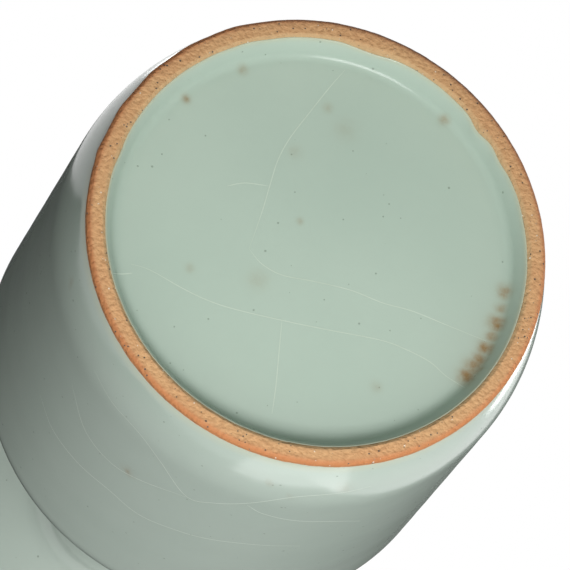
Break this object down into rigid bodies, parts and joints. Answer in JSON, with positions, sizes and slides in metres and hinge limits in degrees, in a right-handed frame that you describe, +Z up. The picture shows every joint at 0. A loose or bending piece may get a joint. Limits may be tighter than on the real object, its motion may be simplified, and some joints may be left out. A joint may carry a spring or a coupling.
{
  "type": "mallet vase",
  "caption": "Celadon mallet vase with straight-sided body, tall neck, dished mouth and a bare clay foot ring round a glazed recessed base.",
  "frame": {"origin": "middle of the foot ring, on the surface that the vase stands on", "axes": "+Z up along the axis of the vase, from the foot to the mouth; +X and +Y are any two sides"},
  "size_m": [0.128, 0.128, 0.255],
  "materials": {
    "bare_clay": "matte",
    "body_clay": "matte",
    "celadon_glaze": "gloss"
  },
  "bodies": {
    "root": {"foot_ring": "bare_clay", "base": "body_clay", "body_wall": "body_clay", "body_slip": "body_clay", "shoulder": "body_clay", "neck_slip": "body_clay", "neck": "body_clay", "mouth_slip": "body_clay", "mouth_dish": "body_clay", "glaze_outer": "celadon_glaze", "glaze_inner": "celadon_glaze", "glaze_base": "celadon_glaze"}
  },
  "joints": []
}
